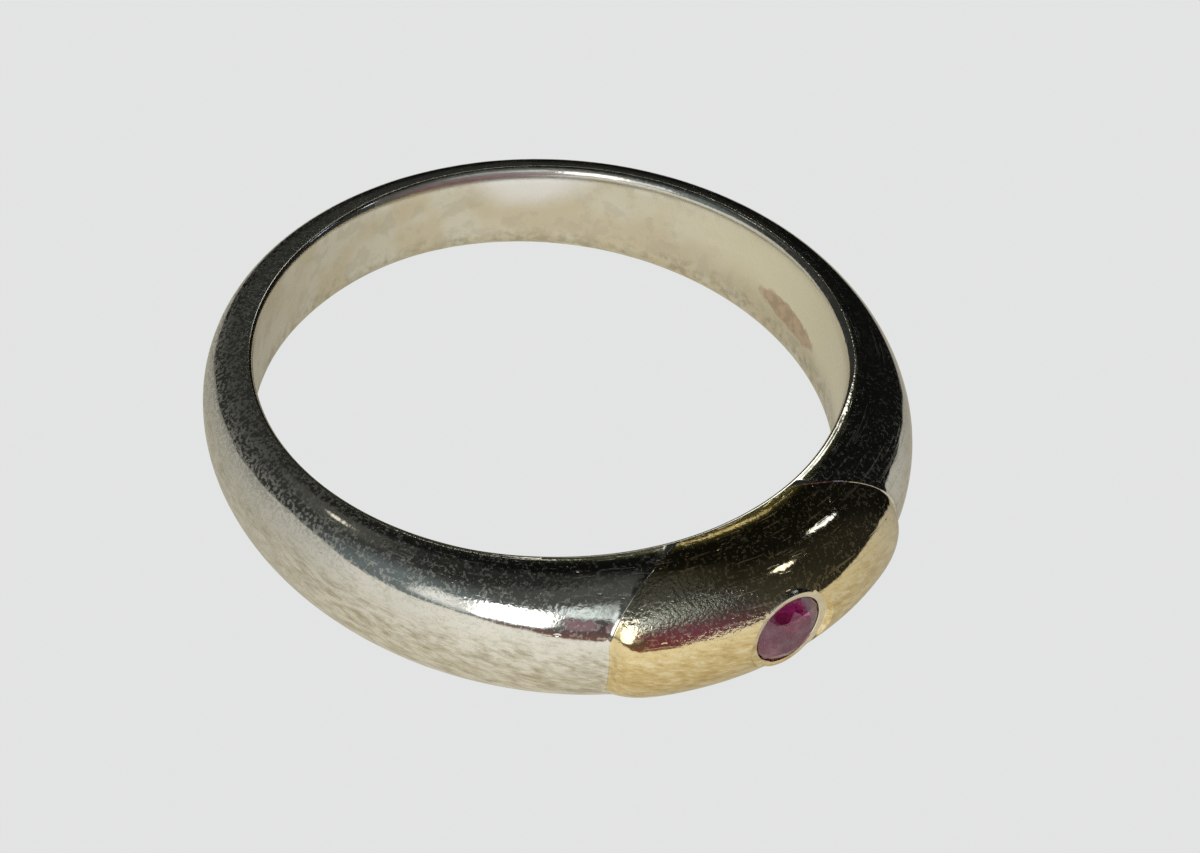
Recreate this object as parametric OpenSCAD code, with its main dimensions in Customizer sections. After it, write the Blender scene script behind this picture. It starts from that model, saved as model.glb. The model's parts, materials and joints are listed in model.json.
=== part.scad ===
// Inlay band: a silver finger ring whose thick front carries a gold cap let into
// the silver, with one round red stone set flush in the gold.
// The ring lies on its side, flat on its lower rim, with the gold towards -Y.
// Its rims draw together towards the back, so the finger's axis leans a little.

/* [Band] */
// Radius of the finger hole
bore_r = 8.75; // [7.5:0.05:10.5]
// Width of the band at the front, from rim to rim
front_w = 4.66; // [4:0.02:6]
// Width of the band at the back, from rim to rim
back_w = 2.94; // [2:0.02:4]
// Thickness of the silver form at the front
front_t = 2.68; // [2.6:0.02:3.2]
// Thickness of the band at the back
back_t = 1.48; // [1.1:0.02:2]
// How quickly the wall thins away from the front
taper_power = 3; // [1:0.5:4]
// Power of the domed outside, where 2 is a half ellipse
dome_power = 2.1; // [2:0.1:3]
// Flat width of each rim beside the finger hole
rim_flat = 0.04; // [0.02:0.01:0.1]
// Rounding of the two inner edges
edge_round = 0.08; // [0.05:0.01:0.12]

/* [Gold cap] */
// Silver left between the finger hole and the cap
liner_t = 0.14; // [0.12:0.01:0.3]
// Half the length of the seat, across the ring
seat_half_len = 5.25; // [4.6:0.05:5.4]
// Height of the seat's end corners above the wall of the finger hole
seat_end_h = 2.33; // [2.1:0.01:2.35]
// Slope of the seat's two ramps against the ring's width
seat_slope = 19; // [15:0.5:24]
// How far the cap stands proud of the silver form
cap_proud = 0.35; // [0.1:0.01:0.5]
// Width over which the cap's edge rolls down to the silver
cap_roll = 0.8; // [0.3:0.05:1]

/* [Stone] */
// Radius of the stone at its girdle
stone_r = 1.12; // [0.8:0.01:1.3]
// Depth of the stone's table below the top of the gold
stone_sink = 0.04; // [0.02:0.01:0.15]
// Height of the crown from the girdle to the table
crown_h = 0.3; // [0.25:0.01:0.4]
// Table radius as a share of the stone's radius
table_share = 0.6; // [0.5:0.01:0.65]
// Pavilion depth as a share of the stone's radius
pavilion_share = 0.86; // [0.8:0.01:0.9]
// Thickness of the girdle
girdle_t = 0.05; // [0.03:0.01:0.1]
// Turn of the stone about its own axis
stone_turn = 22.5; // [0:0.5:44.5]
// Width of the flat land round the stone
land_w = 0.2; // [0.1:0.01:0.3]
// Height of the land above the girdle
land_rise = 0.04; // [0.02:0.01:0.08]
// Angle of the bright cut outside the land, from the stone's axis
rim_angle = 42; // [30:1:50]

/* [Fit] */
// Gap between fitted pieces
fit_gap = 0.03; // [0.02:0.01:0.05]

/* [Hidden] */

// Sections round the whole ring, and their spacing along the cap
ring_steps = 120;
cap_step = 1.1;
// Steps of the dome's angle, from rim to rim
ring_dome_step = 10;
cap_dome_step = 6;
// Steps of the rounded inner edge, from the finger hole's wall to the rim
edge_steps = [30, 60, 90];
// How far the sections reach inside the finger hole before it is bored
bore_skin = 0.1;
// Smoothness of the bored and cut rounds
round_fn = 180;
seat_fn = 120;
// Margin by which cutting tools pass the metal
cut_over = 2;
// Share of the way from table to girdle that a star facet takes
star_share = 0.5;
// Radius of the pavilion's lower facet tips as a share of the stone's radius
lower_share = 0.25;
// Well below the stone's point
well_r = 0.3;
well_depth = 0.2;
// Slope of the land's outer side from the stone's axis, how deep it is rooted and how
// far its side passes the cutting tool's edges
land_side = 15;
land_root = 0.5;
land_over = 0.02;

silver = [0.80, 0.79, 0.76];
gold = [0.80, 0.68, 0.42];
ruby = [0.50, 0.10, 0.25];

// Where the dome starts, beside the flat rim
dome_r = bore_r + edge_round + rim_flat;
liner_r = bore_r + liner_t;
// Both rims are planes: half the width is mid_half_w at the sides of the ring
mid_half_w = (front_w + back_w) / 4;
rim_rise = (front_w - back_w) / 4 / dome_r;
lean = atan(rim_rise);
// The ramps are straight in plan and meet the seat's end corners
seat_end_r = bore_r + seat_end_h;
seat_angle = asin(seat_half_len / seat_end_r);
ramp_m = tan(seat_slope);
ramp_c = sqrt(pow(seat_end_r, 2) - pow(seat_half_len, 2)) - ramp_m * seat_half_len;
// Place of the stone's girdle, outwards from the finger's axis
cap_top_r = bore_r + front_t + cap_proud;
girdle_at = cap_top_r - stone_sink - crown_h - girdle_t / 2;
// Height of the land and its outer radius, from the middle of the girdle
land_z = girdle_t / 2 + land_rise;
land_r = stone_r + fit_gap + land_w;

// A point of a section is [distance from the finger's axis, height]; angles start at
// the middle of the cap, which faces -Y, and run towards +X.
function spun(p, a) = [p.x * sin(a), -p.x * cos(a), p.y];
function fore(a) = (1 + cos(a)) / 2;
function rim_z(a, r) = mid_half_w + rim_rise * r * cos(a);
function reach(a) = back_t + (front_t - back_t) * pow(fore(a), taper_power) - (dome_r - bore_r);
function swell(s) = sign(s) * pow(abs(s), 2 / dome_power);
function dome(a, u, extra = 0) =
    [dome_r + (reach(a) + extra) * swell(cos(u)), rim_z(a, dome_r) * swell(sin(u))];

// The rounded inner edge at the upper rim, where f is 0 at the wall and 90 at the rim.
// Its first chord is carried on into the finger hole, for the bore to cut.
function inner_edge(a, f) =
    let (r = bore_r + edge_round * (1 - cos(f)))
    [r, rim_z(a, r) - edge_round * (1 - sin(f))];
function inside(a) =
    let (p = inner_edge(a, edge_steps[0]), run = bore_skin + p.x - bore_r)
    [p.x - run, p.y - run / tan(edge_steps[0] / 2)];
function upper_edge(a) = [inside(a), for (f = edge_steps) inner_edge(a, f)];
function lower_edge(a) = [for (i = [len(edge_steps) : -1 : 0]) let (p = upper_edge(a)[i]) [p.x, -p.y]];
function ring_section(a) = concat(
    upper_edge(a), [for (u = [90 : -ring_dome_step : -90]) dome(a, u)], lower_edge(a));

// How much of its full proud height the cap has: 0 at its edge, 1 past the roll
function rolled(d) = let (x = min(1, max(0, d / cap_roll))) 1 - pow(1 - x, 2);
function cap_lift(a, r) = cap_proud
    * rolled((r * cos(a) - ramp_c - ramp_m * r * sin(abs(a))) * cos(seat_slope))
    * rolled(r * sin(seat_angle - abs(a)));
function cap_section(a) = concat(
    [[bore_r - bore_skin, rim_z(a, dome_r)]],
    [for (u = [90 : -cap_dome_step : -90]) dome(a, u, cap_lift(a, dome(a, u).x))],
    [[bore_r - bore_skin, -rim_z(a, dome_r)]]);

// Triangles between section i and the next one, which have n points each
function strip(n, i, next) = [for (j = [0 : n - 1]) let (k = (j + 1) % n)
    each [[i * n + j, next * n + j, i * n + k], [i * n + k, next * n + j, next * n + k]]];

module ring_form() {
    sections = [for (i = [0 : ring_steps - 1]) ring_section(360 * i / ring_steps)];
    n = len(sections[0]);
    polyhedron(
        [for (i = [0 : ring_steps - 1]) for (p = sections[i]) spun(p, 360 * i / ring_steps)],
        [for (i = [0 : ring_steps - 1]) each strip(n, i, (i + 1) % ring_steps)]);
}

module cap_form() {
    half = ceil(seat_angle / cap_step) + 2;
    sections = [for (i = [-half : half]) cap_section(i * cap_step)];
    n = len(sections[0]);
    last = 2 * half;
    polyhedron(
        [for (i = [0 : last]) for (p = sections[i]) spun(p, (i - half) * cap_step)],
        concat([for (i = [0 : last - 1]) each strip(n, i, i + 1)],
            [[for (j = [0 : n - 1]) j], [for (j = [n - 1 : -1 : 0]) last * n + j]]));
}

// The space cut for the cap: ramps straight in plan, radial ends, a round floor.
// It is smaller all round by the given gap, to make the cap itself.
module seat_space(gap) {
    end_a = seat_angle - gap / seat_end_r * 180 / PI;
    far = cap_top_r + cut_over;
    c = ramp_c + gap / cos(seat_slope);
    end_r = c / (cos(end_a) - ramp_m * sin(end_a));
    difference() {
        linear_extrude(front_w + 2 * cut_over, center = true)
            polygon([
                [0, -c],
                [end_r * sin(end_a), -end_r * cos(end_a)],
                [far * sin(end_a), -far * cos(end_a)],
                [0, -far / cos(end_a)],
                [-far * sin(end_a), -far * cos(end_a)],
                [-end_r * sin(end_a), -end_r * cos(end_a)]]);
        cylinder(r = liner_r + gap, h = front_w + 3 * cut_over, center = true, $fn = round_fn);
    }
}

// Rests the leaning ring flat on its lower rim, with its box centred over the origin.
// The stone's table reaches furthest forward, because the bright cut lowers the gold.
module at_rest() {
    table_half = stone_r * table_share * max([for (i = [0 : 7]) sin(stone_turn + 45 * i)]);
    front_y = -(cap_top_r - stone_sink) * cos(lean) - table_half * sin(lean);
    back_y = max([for (u = [-90 : ring_dome_step : 90]) let (p = dome(180, u))
        p.x * cos(lean) + p.y * sin(lean)]);
    translate([0, -(front_y + back_y) / 2, mid_half_w * cos(lean)])
        rotate([-lean, 0, 0]) children();
}

// Turns +Z outwards through the stone, with z = 0 at the middle of its girdle
module at_stone() {
    rotate([90, 0, 0]) translate([0, 0, girdle_at]) children();
}

// The metal that carries the land where the dome falls away beside the stone
module stone_land() {
    top_r = land_r - land_over;
    slope = tan(land_side);
    translate([0, 0, land_z - land_root]) cylinder(
        r1 = top_r + land_root * slope, r2 = top_r - land_over * slope, h = land_root + land_over, $fn = seat_fn);
}

// The flush seat, turned in one: a bright cut that opens outwards, the flat land, a
// straight wall round the girdle, a cone under the pavilion and a small well below the
// stone's point
module stone_seat() {
    wall_r = stone_r + fit_gap;
    ledge_z = -girdle_t / 2 - fit_gap / cos(atan(pavilion_share));
    floor_z = -girdle_t / 2 - stone_r * pavilion_share - well_depth;
    rotate_extrude($fn = seat_fn) polygon([
        [0, floor_z],
        [well_r, floor_z],
        [well_r, ledge_z - (wall_r - well_r) * pavilion_share],
        [wall_r, ledge_z],
        [wall_r, land_z],
        [land_r, land_z],
        [land_r + cut_over * tan(rim_angle), land_z + cut_over],
        [0, land_z + cut_over]]);
}

// A round brilliant: a table, eight stars, eight kites and sixteen upper facets over
// the girdle, sixteen lower facets and eight mains under it
module brilliant() {
    table_r = stone_r * table_share;
    table_z = girdle_t / 2 + crown_h;
    star_r = table_r * cos(22.5) + star_share * (stone_r - table_r * cos(22.5));
    star_z = table_z - (star_r * cos(22.5) - table_r) / (stone_r - table_r) * crown_h;
    depth = stone_r * pavilion_share;
    tip_r = stone_r * lower_share;
    tip_z = -girdle_t / 2 - depth + tip_r * cos(22.5) * pavilion_share;
    function row(r, z, count, first) =
        [for (i = [0 : count - 1]) let (t = first + i * 360 / count) [r * cos(t), r * sin(t), z]];
    points = concat(
        row(table_r, table_z, 8, 0), row(star_r, star_z, 8, 22.5),
        row(stone_r, girdle_t / 2, 16, 0), row(stone_r, -girdle_t / 2, 16, 0),
        row(tip_r, tip_z, 8, 22.5), [[0, 0, -girdle_t / 2 - depth]]);
    star = 8;
    upper = 16;
    lower = 32;
    tip = 48;
    point = 56;
    polyhedron(points, concat(
        [[for (i = [7 : -1 : 0]) i]],
        [for (i = [0 : 7]) [i, (i + 1) % 8, star + i]],
        [for (i = [0 : 7]) [i, star + i, upper + 2 * i, star + (i + 7) % 8]],
        [for (i = [0 : 7]) [star + i, upper + 2 * i + 1, upper + 2 * i]],
        [for (i = [0 : 7]) [star + i, upper + (2 * i + 2) % 16, upper + 2 * i + 1]],
        [for (j = [0 : 15]) [upper + j, upper + (j + 1) % 16, lower + (j + 1) % 16, lower + j]],
        [for (i = [0 : 7]) [lower + 2 * i, lower + 2 * i + 1, tip + i]],
        [for (i = [0 : 7]) [lower + 2 * i + 1, lower + (2 * i + 2) % 16, tip + i]],
        [for (i = [0 : 7]) [lower + 2 * i, tip + i, point, tip + (i + 7) % 8]]));
}

module band() {
    color(silver) at_rest() difference() {
        ring_form();
        cylinder(r = bore_r, h = front_w + 2 * cut_over, center = true, $fn = round_fn);
        seat_space(0);
    }
}

module inlay() {
    color(gold) at_rest() difference() {
        union() {
            intersection() {
                cap_form();
                seat_space(fit_gap);
            }
            at_stone() stone_land();
        }
        at_stone() stone_seat();
    }
}

module stone() {
    color(ruby) at_rest() at_stone() rotate([0, 0, stone_turn]) brilliant();
}

band();
inlay();
stone();
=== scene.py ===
"""The looks of an inlay band ring: worn silver, a gold cap let into it and a flush red stone."""

import json
import logging
import math
from dataclasses import asdict, dataclass
from enum import Enum
from typing import Any, Callable, Sequence, Union

import bmesh
import bpy
from mathutils import Matrix, Vector


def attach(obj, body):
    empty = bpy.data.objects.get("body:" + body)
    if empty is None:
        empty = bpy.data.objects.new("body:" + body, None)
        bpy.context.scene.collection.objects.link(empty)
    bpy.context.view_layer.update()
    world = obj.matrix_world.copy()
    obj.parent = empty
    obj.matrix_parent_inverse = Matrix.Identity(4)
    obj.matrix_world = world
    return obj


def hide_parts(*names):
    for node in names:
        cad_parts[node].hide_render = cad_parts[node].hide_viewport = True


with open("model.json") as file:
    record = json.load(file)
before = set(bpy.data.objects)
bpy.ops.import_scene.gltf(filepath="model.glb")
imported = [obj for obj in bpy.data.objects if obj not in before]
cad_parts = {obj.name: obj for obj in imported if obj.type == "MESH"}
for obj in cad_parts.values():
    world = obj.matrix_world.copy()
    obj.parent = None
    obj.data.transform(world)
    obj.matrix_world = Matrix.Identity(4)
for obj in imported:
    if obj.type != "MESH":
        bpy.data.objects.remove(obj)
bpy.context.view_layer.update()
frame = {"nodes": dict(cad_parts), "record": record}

LOG = logging.getLogger("inlay_band")
MM = 0.001
ROOT = "root"
TO_DEGREES = math.degrees(1.0)

Number = Union["Flow", float]
Colour = tuple[float, float, float]
Pair = tuple[float, float]
Socket = bpy.types.NodeSocket


class Op(Enum):
    """The sums that an expression on node values can hold."""

    ADD = "ADD"
    SUBTRACT = "SUBTRACT"
    MULTIPLY = "MULTIPLY"
    DIVIDE = "DIVIDE"
    POWER = "POWER"
    MINIMUM = "MINIMUM"
    MAXIMUM = "MAXIMUM"
    ABSOLUTE = "ABSOLUTE"
    ROUND = "ROUND"
    SINE = "SINE"
    COSINE = "COSINE"
    ARCCOSINE = "ARCCOSINE"
    ARCSINE = "ARCSINE"
    ARCTAN2 = "ARCTAN2"
    SQRT = "SQRT"
    LESS = "LESS_THAN"
    GREATER = "GREATER_THAN"


def sum_method(op: Op, swapped: bool = False) -> Callable[..., "Flow"]:
    """Makes one of Flow's operators or sums.

    Args:
        op: the sum that it adds to the tree.
        swapped: whether the flow comes second in the sum.

    Returns:
        The method.
    """
    def method(flow: "Flow", *others: Number) -> "Flow":
        """Adds the sum to the flow's tree."""
        numbers = (*others, flow) if swapped else (flow, *others)
        return flow.tree.math(op, *numbers)

    return method


class Flow:
    """A number that flows through a node tree, on which Python's operators work."""

    __add__ = __radd__ = sum_method(Op.ADD)
    __sub__ = sum_method(Op.SUBTRACT)
    __rsub__ = sum_method(Op.SUBTRACT, swapped=True)
    __mul__ = __rmul__ = sum_method(Op.MULTIPLY)
    __truediv__ = sum_method(Op.DIVIDE)
    __rtruediv__ = sum_method(Op.DIVIDE, swapped=True)
    __pow__ = sum_method(Op.POWER)
    __abs__ = sum_method(Op.ABSOLUTE)
    __lt__ = sum_method(Op.LESS)
    __gt__ = sum_method(Op.GREATER)
    sin = sum_method(Op.SINE)
    cos = sum_method(Op.COSINE)
    arcsin = sum_method(Op.ARCSINE)
    arccos = sum_method(Op.ARCCOSINE)
    arctan = sum_method(Op.ARCTAN2)
    root = sum_method(Op.SQRT)
    rounded = sum_method(Op.ROUND)
    at_least = sum_method(Op.MAXIMUM)
    at_most = sum_method(Op.MINIMUM)

    def __init__(self, tree: "Tree", socket: Socket) -> None:
        """Wraps one output socket of a tree."""
        self.tree = tree
        self.socket = socket

    def __neg__(self) -> "Flow":
        """This number with its sign turned."""
        return 0.0 - self

    def clamped(self, low: Number = 0.0, high: Number = 1.0) -> "Flow":
        """This number held between two others."""
        return self.at_least(low).at_most(high)


class Tree:
    """A node tree that is written as Python expressions."""

    def __init__(self, nodes: bpy.types.NodeTree) -> None:
        """Takes an empty node tree."""
        self.nodes = nodes

    def node(self, kind: str, sockets: dict[Any, Any] | None = None, **settings: Any) -> bpy.types.Node:
        """Adds a node of any kind.

        Args:
            kind: the node's type name.
            sockets: the value or link of each named or numbered input.
            settings: what is set on the node first. "stops" gives a colour ramp's stops.

        Returns:
            The new node.
        """
        made = self.nodes.nodes.new(kind)
        for name, value in settings.items():
            if name == "stops":
                self._set_stops(made.color_ramp, value)
            else:
                setattr(made, name, value)
        for name, value in (sockets or {}).items():
            self.plug(value, made.inputs[name])
        return made

    @staticmethod
    def _set_stops(ramp: bpy.types.ColorRamp, stops: Sequence[Pair]) -> None:
        """Gives a colour ramp eased stops.

        Args:
            ramp: the new ramp.
            stops: the place and the grey of each stop, in order.
        """
        ramp.interpolation = "EASE"
        while len(ramp.elements) < len(stops):
            ramp.elements.new(1.0)
        for element, (place, grey) in zip(ramp.elements, stops):
            element.position = place
            element.color = (grey, grey, grey, 1.0)

    def plug(self, value: Any, socket: Socket) -> None:
        """Feeds an input.

        Args:
            value: a link, or the input's own value.
            socket: the input.
        """
        source = value.socket if isinstance(value, Flow) else value
        if isinstance(source, Socket):
            self.nodes.links.new(source, socket)
        else:
            socket.default_value = source

    def flow(self, kind: str, sockets: dict[Any, Any] | None = None, output: int | str = 0,
             **settings: Any) -> Flow:
        """Adds a node and wraps one of its outputs, given by name or number."""
        return Flow(self, self.node(kind, sockets, **settings).outputs[output])

    def math(self, op: Op, *values: Number) -> Flow:
        """Adds one Math node, for a sum of one or two numbers."""
        return self.flow("ShaderNodeMath", dict(enumerate(values)), operation=op.value)

    def xyz(self, x: Number, y: Number, z: Number) -> Flow:
        """A vector from three numbers."""
        return self.flow("ShaderNodeCombineXYZ", {0: x, 1: y, 2: z})

    def parts(self, vector: Flow) -> tuple[Flow, Flow, Flow]:
        """The three numbers of a vector."""
        made = self.node("ShaderNodeSeparateXYZ", {0: vector})
        return tuple(Flow(self, made.outputs[i]) for i in range(3))

    def blend(self, mask: Number, off: Number, on: Number) -> Flow:
        """A number that goes from off to on as the mask goes from 0 to 1."""
        return (1.0 - mask) * off + mask * on

    def smooth(self, value: Flow, start: Number, end: Number) -> Flow:
        """0 before start, 1 after end, and an even slope between them."""
        return self.flow("ShaderNodeMapRange", {"Value": value, "From Min": start, "From Max": end},
                         interpolation_type="SMOOTHSTEP")

    def fade(self, value: Flow, start: Number, end: Number) -> Flow:
        """1 before start, 0 after end, and an even slope between them."""
        return 1.0 - self.smooth(value, start, end)

    def tint(self, mask: Number, off: Any, on: Any, mode: str = "MIX") -> Flow:
        """A colour that goes from off to on as the mask goes from 0 to 1.

        Args:
            mask: the share of the second colour.
            off: the first colour, as a link or three numbers.
            on: the second colour.
            mode: how the colours meet.

        Returns:
            The mixed colour.
        """
        first, second = ((*colour, 1.0) if isinstance(colour, tuple) else colour for colour in (off, on))
        return self.flow("ShaderNodeMix", {0: mask, 6: first, 7: second}, 2, data_type="RGBA",
                         blend_type=mode)

    def noise(self, place: Flow, scale: float, detail: float = 2.0, rough: float = 0.5,
              w: Flow | None = None) -> Flow:
        """Soft noise round 0.5.

        Args:
            place: the point at which the noise is read, in millimetres.
            scale: cells in a millimetre.
            detail: layers of finer noise.
            rough: how strong the finer layers are.
            w: a fourth coordinate, already scaled, where the noise has one.

        Returns:
            The noise.
        """
        sockets = {"Vector": place, "Scale": scale, "Detail": detail, "Roughness": rough}
        if w is not None:
            sockets["W"] = w
        return self.flow("ShaderNodeTexNoise", sockets, noise_dimensions="3D" if w is None else "4D")

    def cells(self, place: Flow, scale: float) -> tuple[Flow, Flow]:
        """Scattered cells.

        Args:
            place: the point at which they are read.
            scale: how many there are across a unit.

        Returns:
            The distance to the nearest cell's middle, and that cell's own number from 0 to 1.
        """
        made = self.node("ShaderNodeTexVoronoi", {"Vector": place, "Scale": scale}, feature="F1")
        own = self.flow("ShaderNodeSeparateXYZ", {0: made.outputs["Color"]})
        return Flow(self, made.outputs["Distance"]), own


@dataclass(frozen=True)
class RingSizes:
    """The sizes in millimetres that the band and its cap share, and what follows from them."""

    bore_r: float
    front_w: float = 4.66
    back_w: float = 2.94
    front_t: float = 2.68
    back_t: float = 1.48
    taper_power: float = 3.0
    dome_power: float = 2.1
    rim_flat: float = 0.04
    edge_round: float = 0.08
    liner_t: float = 0.14
    seat_half_len: float = 5.25
    seat_end_h: float = 2.33
    seat_slope: float = math.radians(19)
    cap_proud: float = 0.35
    cap_roll: float = 1.15
    end_roll: float = 0.45
    fit_gap: float = 0.018

    def following(self) -> dict[str, float]:
        """The sizes that follow from the others.

        Returns:
            dome_r, where the dome starts beside the flat rim; mid_half_w, half the width at the ring's
            sides; rim_rise, the slope of the rim planes; seat_end_r and seat_angle, the radius and the
            angle of the seat's end corners; ramp_m and ramp_c, the ramps' slope and meeting point in plan.
        """
        dome_r = self.bore_r + self.edge_round + self.rim_flat
        seat_end_r = self.bore_r + self.seat_end_h
        seat_end_y = math.sqrt(seat_end_r ** 2 - self.seat_half_len ** 2)
        ramp_m = math.tan(self.seat_slope)
        return {"dome_r": dome_r, "mid_half_w": (self.front_w + self.back_w) / 4,
                "rim_rise": (self.front_w - self.back_w) / 4 / dome_r, "seat_end_r": seat_end_r,
                "seat_angle": math.asin(self.seat_half_len / seat_end_r), "ramp_m": ramp_m,
                "ramp_c": seat_end_y - ramp_m * self.seat_half_len}


def emptied(holder: bpy.types.Material | bpy.types.World) -> bpy.types.NodeTree:
    """Empties the node tree of a material or a world.

    Args:
        holder: the material or world.

    Returns:
        Its node tree.
    """
    holder.use_nodes = True
    holder.node_tree.nodes.clear()
    return holder.node_tree


class RingPlace:
    """Where the leaning ring stands: its bore's centre and axis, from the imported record."""

    def __init__(self, record: dict[str, Any]) -> None:
        """Reads the bore from the record's one mount.

        Args:
            record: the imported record.
        """
        bore = record["mounts"][0]
        self.centre = Vector(bore["pos_m"])
        axis = Vector(bore["axis"])
        self.lean = math.atan2(axis.y, axis.z)
        self.bore_r = bore["dims"]["r_mm"]
        self.matrix = Matrix.Translation(self.centre) @ Matrix.Rotation(-self.lean, 4, "X")


class ShapeTree(Tree):
    """A Geometry Nodes tree whose sizes are named inputs, for the ring's own surfaces."""

    WELD_DISTANCE = 0.0001
    WAVE_LEVEL = 0.85

    def __init__(self, name: str, sizes: RingSizes) -> None:
        """Starts a tree with one input for each size.

        Args:
            name: the tree's name.
            sizes: the ring's sizes, in millimetres.
        """
        super().__init__(bpy.data.node_groups.new(name, "GeometryNodeTree"))
        self.values: dict[str, float] = {}
        self.entry = self.node("NodeGroupInput")
        self.nodes.interface.new_socket("Geometry", in_out="OUTPUT", socket_type="NodeSocketGeometry")
        values = {**asdict(sizes), **sizes.following()}
        self.size = {key: self.named(key, value) for key, value in values.items()}

    def named(self, name: str, value: float) -> Flow:
        """Adds a named input.

        Args:
            name: the input's name, as plain words joined by underscores.
            value: what the modifier sets it to.

        Returns:
            The input's number.
        """
        label = name.replace("_", " ").capitalize()
        item = self.nodes.interface.new_socket(label, in_out="INPUT", socket_type="NodeSocketFloat")
        self.values[item.identifier] = float(value)
        return Flow(self, self.entry.outputs[label])

    def grid(self, columns: int, rows: int) -> tuple[Socket, Flow, Flow]:
        """A flat grid, with the number of its column and row at each point.

        Args:
            columns: points across.
            rows: points up.

        Returns:
            The grid, and the column and the row, both counted from 0.
        """
        sheet = self.node("GeometryNodeMeshGrid",
                          {"Size X": 1.0, "Size Y": 1.0, "Vertices X": columns, "Vertices Y": rows})
        x, y, _ = self.parts(self.flow("GeometryNodeInputPosition"))
        column, row = (((place + 0.5) * (count - 1.0)).rounded()
                       for place, count in ((x, columns), (y, rows)))
        return sheet.outputs[0], column, row

    def reach(self, cos_a: Flow) -> Flow:
        """How far the dome stands out.

        Args:
            cos_a: cosine of the angle round the ring.

        Returns:
            The distance.
        """
        size = self.size
        fore = ((1.0 + cos_a) * 0.5) ** size["taper_power"]
        return size["back_t"] + (size["front_t"] - size["back_t"]) * fore - (size["dome_r"] - size["bore_r"])

    def rim_z(self, cos_a: Flow, r: Number) -> Flow:
        """Height of the upper rim at an angle and a radius."""
        return self.size["mid_half_w"] + self.size["rim_rise"] * r * cos_a

    def swell(self, share: Flow) -> Flow:
        """The dome's power curve, for a share from 0 to 1."""
        return share.clamped() ** (2.0 / self.size["dome_power"])

    def dome_angle(self, r: Flow, reach: Flow) -> Flow:
        """The dome's angle at which it has a given radius."""
        share = ((r - self.size["dome_r"]) / reach).clamped()
        return (share ** (self.size["dome_power"] * 0.5)).arccos()

    def past_ramp(self, cos_a: Flow, sin_a: Flow, r: Flow) -> Flow:
        """Distance past the ramp's line, measured square to it; below 0 outside the seat."""
        size = self.size
        return (r * cos_a - size["ramp_c"] - size["ramp_m"] * r * sin_a) * size["seat_slope"].cos()

    def seat_r(self, cos_a: Flow, sin_a: Flow, gap: Number) -> Flow:
        """Radius of the seat's floor.

        Args:
            cos_a: cosine of the angle round the ring.
            sin_a: its sine, without sign.
            gap: how far the floor is raised.

        Returns:
            The radius.
        """
        size = self.size
        line = size["ramp_c"] + gap / size["seat_slope"].cos()
        ramp = line / (cos_a - size["ramp_m"] * sin_a)
        return ramp.at_least(size["bore_r"] + size["liner_t"] + gap)

    def place(self, sheet: Socket, angle: Flow, r: Flow, z: Flow) -> Socket:
        """Moves a grid's points to an angle, a radius and a height of the ring, and welds its seams.

        Args:
            sheet: the grid.
            angle: each point's angle from the middle of the cap.
            r: its distance from the finger's axis.
            z: its height.

        Returns:
            The closed surface, with its faces outwards.
        """
        point = self.xyz(r * angle.sin(), -(r * angle.cos()), z)
        moved = self.node("GeometryNodeSetPosition", {"Geometry": sheet, "Position": point})
        welded = self.node("GeometryNodeMergeByDistance",
                           {"Geometry": moved.outputs[0], "Distance": self.WELD_DISTANCE})
        return self.node("GeometryNodeFlipFaces", {"Mesh": welded.outputs[0]}).outputs[0]

    def placed(self) -> tuple[Flow, Flow, Flow, Flow, Flow]:
        """A point where it stands.

        Returns:
            The point, its x, y and z, and its distance from the finger's axis.
        """
        point = self.flow("GeometryNodeInputPosition")
        x, y, z = self.parts(point)
        return point, x, y, z, (x * x + y * y).root()

    def pushed(self, mesh: Socket, out: Flow) -> Socket:
        """Moves a mesh's points along its normal.

        Args:
            mesh: the mesh.
            out: how far, in millimetres.

        Returns:
            The moved mesh.
        """
        normal = self.flow("GeometryNodeInputNormal")
        offset = self.flow("ShaderNodeVectorMath", {0: normal, "Scale": out}, operation="SCALE")
        return self.node("GeometryNodeSetPosition", {"Geometry": mesh, "Offset": offset}).outputs[0]

    def wave(self, point: Flow, cells: float, depth: float, outside: Flow) -> Flow:
        """Slight unevenness of a hand-finished outside.

        Args:
            point: where it is read.
            cells: waves in a millimetre.
            depth: how deep they are.
            outside: where the surface has them, from 0 to 1.

        Returns:
            The rise at each point.
        """
        return (self.noise(point, cells) - self.WAVE_LEVEL) * self.named("wave", depth) * outside

    def run(self, name: str, mesh: Socket, place: RingPlace,
            material: bpy.types.Material) -> bpy.types.Object:
        """Stands a surface where the ring rests, and turns it into a piece.

        Args:
            name: the piece's name.
            mesh: the surface round the ring's own axis, in millimetres.
            place: where the ring stands.
            material: the finish.

        Returns:
            The piece, at the origin, with no modifier.
        """
        stood = {"Translation": tuple(place.centre), "Rotation": (-place.lean, 0.0, 0.0), "Scale": (MM,) * 3}
        for kind, sockets in (("Transform", stood), ("SetShadeSmooth", {}), ("RealizeInstances", {}),
                              ("SetMaterial", {"Material": material})):
            mesh = self.node(f"GeometryNode{kind}", {"Geometry": mesh, **sockets}).outputs[0]
        self.node("NodeGroupOutput", {0: mesh})
        piece = bpy.data.objects.new(name, bpy.data.meshes.new(name))
        bpy.context.scene.collection.objects.link(piece)
        modifier = piece.modifiers.new("shape", "NODES")
        modifier.node_group = self.nodes
        for identifier, value in self.values.items():
            modifier[identifier] = value
        bake(piece)
        return piece


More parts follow.
